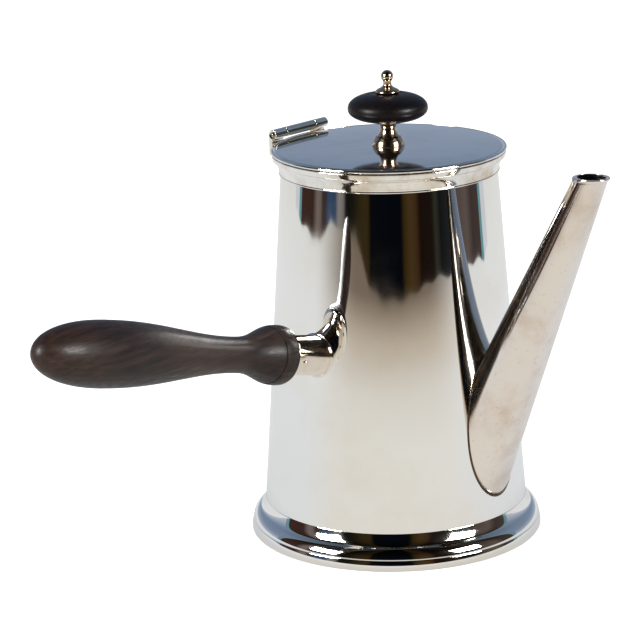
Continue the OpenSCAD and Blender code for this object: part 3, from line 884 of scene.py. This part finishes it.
def fixed_knuckles():
    """The two outer knuckles, each with a lug down on to the rim."""
    circle = knuckle_circle()
    reach, inner_end, low = FIXED_HIGH[1], KNUCKLE_HIGH[1] + KNUCKLE_GAP, FIXED_LOW[2]
    spans = ((-reach, -inner_end), (inner_end, reach))
    knuckles = [hinge_block(BARREL_R * circle, PIN_R * circle, *span) for span in spans]
    back, front = HINGE_X - BARREL_R, HINGE_X - 0.35
    corners = softened([(back, low, 0.15), (front, low, 0), (front, HINGE_Z - 0.3, 0), (back, HINGE_Z, 0)])
    lugs = [slab(corners, *span, LUG_EDGE, LUG_EDGE)[..., [0, 2, 1]] for span in spans]
    piece("fixed_knuckles", knuckles, "pot", RIM_SILVER, ["fixed_knuckles"])
    piece("hinge_lugs", lugs, "pot", RIM_SILVER, ring_rows=False)


def inset(outline, distance):
    """Moves each point of a closed outline inwards, square to the line between its neighbours."""
    run = np.roll(outline, -1, 0) - np.roll(outline, 1, 0)
    run /= np.linalg.norm(run, axis=1)[:, None]
    left = np.column_stack([-run[:, 1], run[:, 0]])
    inward = np.sign(np.sum(left * (outline.mean(axis=0) - outline)))
    return outline + distance * inward * left


def slab(outline, low, high, low_edge, high_edge):
    """A flat block on a closed outline: both faces meet at a middle point, both edges are quarter rounds."""
    middle = outline.mean(axis=0) + 0 * outline
    turn = np.linspace(0, pi / 2, 7)
    rows = [(middle, low)]
    rows += [(inset(outline, low_edge * (1 - sin(a))), low + low_edge * (1 - cos(a))) for a in turn]
    rows += [(inset(outline, high_edge * (1 - cos(a))), high - high_edge * (1 - sin(a))) for a in turn]
    rows += [(middle, high)]
    return np.stack([np.column_stack([flat, np.full(len(flat), depth)]) for flat, depth in rows])


def lid_knuckle():
    """The middle knuckle."""
    circle = knuckle_circle()
    bore = (PIN_R + PIN_PLAY) * circle
    block = hinge_block(BARREL_R * circle, bore, KNUCKLE_LOW[1], KNUCKLE_HIGH[1])
    piece("lid_knuckle", block, "lid", RIM_SILVER, ["lid_knuckle"])


def hinge_pin():
    """A plain pin with domed ends."""
    reach = PIN_HIGH[1]
    dome = np.array([(PIN_R, reach - 0.45), (PIN_R * 0.93, reach - 0.25), (PIN_R * 0.6, reach - 0.07),
                     (0, reach)])
    outline = np.vstack([dome[::-1] * (1, -1), dome])
    rod = on_axis(turned(outline, 48), np.array([HINGE_X, 0, HINGE_Z]), np.array([0, 1.0, 0]))
    piece("hinge_pin", rod, "pot", FINIAL_SILVER, ["hinge_pin"], ring_rows=False)


def hinge_leaf():
    """A thick half-moon on the lid, an arc of a circle in front, with a tongue back to the knuckle."""
    back, front, half, tongue = HINGE_X + BARREL_R + 0.5, LEAF_HIGH[0], LEAF_HIGH[1], KNUCKLE_HIGH[1]
    rise = front - back
    radius = (half ** 2 + rise ** 2) / (2 * rise)
    span = degrees(atan2(half, radius - rise))
    moon = arc((front - radius, 0), radius, -span + 3, span - 3, 80)
    tail = softened([(back, half, 0.9), (back, tongue, 0), (HINGE_X + 0.9, tongue, 0),
                     (HINGE_X + 0.9, -tongue, 0), (back, -tongue, 0), (back, -half, 0.9)])
    piece("hinge_leaf", slab(np.vstack([moon, tail]), LEAF_LOW[2], LEAF_HIGH[2], 0.05, 0.85), "lid",
          RIM_SILVER, ["hinge_leaf"], ring_rows=False)


# ---- lid ------------------------------------------------------------------------------

def lid_plate():
    """A round plate with a hole for the stud: flat below, its top falling as the cube of the radius."""
    low = LID_TOP - 1.1
    share = np.linspace(1, 0, 40)
    crown = np.column_stack([LID_SEAT_R + (LID_FACE_R - LID_SEAT_R) * share,
                             LID_TOP + LID_CROWN * (1 - share ** 3)])
    outline = np.vstack([[(STUD_HOLE_R, low), (LID_FACE_R, low)], crown,
                         [(STUD_HOLE_R, LID_TOP + LID_CROWN)]])
    piece("lid_plate", turned(outline), "lid", LID_SILVER, ["lid_plate"])


def lid_edge_wire():
    """Half-round wire round the plate."""
    half = (LID_HIGH[2] - LID_LOW[2]) / 2
    bead = arc((LID_R - half, LID_TOP - half), half, -90, 90, 20)
    outline = np.vstack([[(LID_FACE_R, LID_TOP - 2 * half)], bead, [(LID_FACE_R, LID_TOP)]])
    piece("lid_edge_wire", turned(outline), "lid", RIM_SILVER, ["lid_edge_wire"])


def lid_bezel():
    """The ring that drops into the mouth."""
    radius, low, high = BEZEL_HIGH[0], BEZEL_LOW[2], BEZEL_HIGH[2]
    outline = softened([(radius - 1, low, 0.2), (radius, low, 0.5), (radius, high, 0), (radius - 1, high, 0)])
    piece("lid_bezel", turned(outline), "lid", LID_SILVER, ["lid_bezel"])


# ---- finial -----------------------------------------------------------------------------

def finial_stem():
    """A rounded foot, a bell with a small step, then a waist and a flare, each a power of its own height."""
    low, high = STEM_LOW[2], STEM_HIGH[2]
    neck_r, neck_z = 3.05, low + 7.2
    foot = arc((5.95, low + 0.45), 0.45, -90, 35, 10)
    share = np.linspace(0, 1, 16)
    bell = np.column_stack([6.25 - 1.25 * share ** 1.6, low + 0.75 + 2.65 * share])
    step = [(4.88, low + 3.55), (4.6, low + 3.62), (4.3, low + 3.7)]
    waist = np.column_stack([neck_r + 1.2 * (1 - share) ** 2, low + 3.8 + (neck_z - low - 3.8) * share])
    flare = np.column_stack([neck_r + share ** 1.6, neck_z + (high - neck_z) * share])[1:]
    outline = np.vstack([[(STUD_HOLE_R, low)], foot, bell, step, waist, flare, [(STUD_HOLE_R, high)]])
    piece("finial_stem", turned(outline, 128), "lid", FINIAL_SILVER, ["finial_stem"])


def finial_disc():
    """Turned wood: each half of its section is a superellipse, r = R cos(a) ** f, z = h sin(a) ** f."""
    full, reach, widest = 0.87, DISC_HIGH[0], DISC_WIDEST_Z
    down, up = widest - DISC_LOW[2] + 0.4, DISC_HIGH[2] - widest + 0.4
    lowest = np.arcsin(((widest - DISC_LOW[2]) / down) ** (1 / full))
    highest = np.arcsin(((DISC_HIGH[2] - widest) / up) ** (1 / full))
    turn = np.linspace(0, 1, 36)
    under, over = lowest * turn[::-1], highest * turn[1:]
    lower = np.column_stack([reach * np.cos(under) ** full, widest - down * np.sin(under) ** full])
    upper = np.column_stack([reach * np.cos(over) ** full, widest + up * np.sin(over) ** full])
    outline = np.vstack([[(STUD_HOLE_R, DISC_LOW[2])], lower, upper, [(STUD_HOLE_R, DISC_HIGH[2])]])
    piece("finial_disc", turned(outline, 192), "lid", DISC_WOOD, ["finial_disc"])


def finial_cap():
    """A domed flange, a hollow curve that falls as the square, a neck and a ball."""
    low, ball_r, neck_r = CAP_LOW[2], 2.4, 1.6
    rim = arc((4.05, low + 0.75), 0.65, -80, 70, 14)
    share = np.linspace(0, 1, 17)
    hollow = np.column_stack([neck_r + 2.3 * (1 - share) ** 2, low + 1.7 + 1.9 * share])
    ball = arc((0, CAP_HIGH[2] - ball_r), ball_r, -46, 90, 36)
    ball[-1, 0] = 0
    outline = np.vstack([[(0, low), (4.0, low)], rim, hollow, [(neck_r, low + 4.5)], ball])
    piece("finial_cap", turned(outline, 128), "lid", FINIAL_SILVER, ["finial_cap"],
          ring_rows=False)


def finial_fixings():
    """The stud, and the washer and six-sided nut that draw the finial down on the lid."""
    stud_r = STUD_HIGH[0]
    stud = softened([(0, STUD_LOW[2], 0), (stud_r, STUD_LOW[2], 0.3), (stud_r, STUD_HIGH[2], 0),
                     (0, STUD_HIGH[2], 0)])
    piece("finial_stud", turned(np.vstack([stud, stud[:1]]), 64), "lid", FINIAL_SILVER,
          ["finial_stud"], ring_rows=False)
    washer = softened([(STUD_HOLE_R, WASHER_LOW[2], 0.1), (WASHER_HIGH[0], WASHER_LOW[2], 0.2),
                       (WASHER_HIGH[0], WASHER_HIGH[2], 0.1), (STUD_HOLE_R, WASHER_HIGH[2], 0)])
    piece("finial_washer", turned(washer, 96), "lid", SPOUT_SILVER, ["finial_washer"])
    angle = full_turn(96)
    hexagon = NUT_HIGH[0] * cos(pi / 6) / np.cos((angle % (pi / 3)) - pi / 6)
    circle = np.column_stack([np.cos(angle), np.sin(angle)])
    nut = ring_block(hexagon[:, None] * circle, STUD_HOLE_R * circle, NUT_LOW[2], NUT_HIGH[2], 0.3)
    piece("finial_nut", nut, "lid", SPOUT_SILVER, ["finial_nut"])


for make in (body_shell, base_plate, foot_moulding, foot_wire, rim_moulding, spout_tube, spout_lip,
             spout_solder, handle_socket, socket_flange, wooden_handle, handle_rivet, fixed_knuckles,
             hinge_pin, lid_knuckle, hinge_leaf, lid_plate, lid_edge_wire, lid_bezel, finial_stem,
             finial_disc, finial_cap, finial_fixings):
    make()
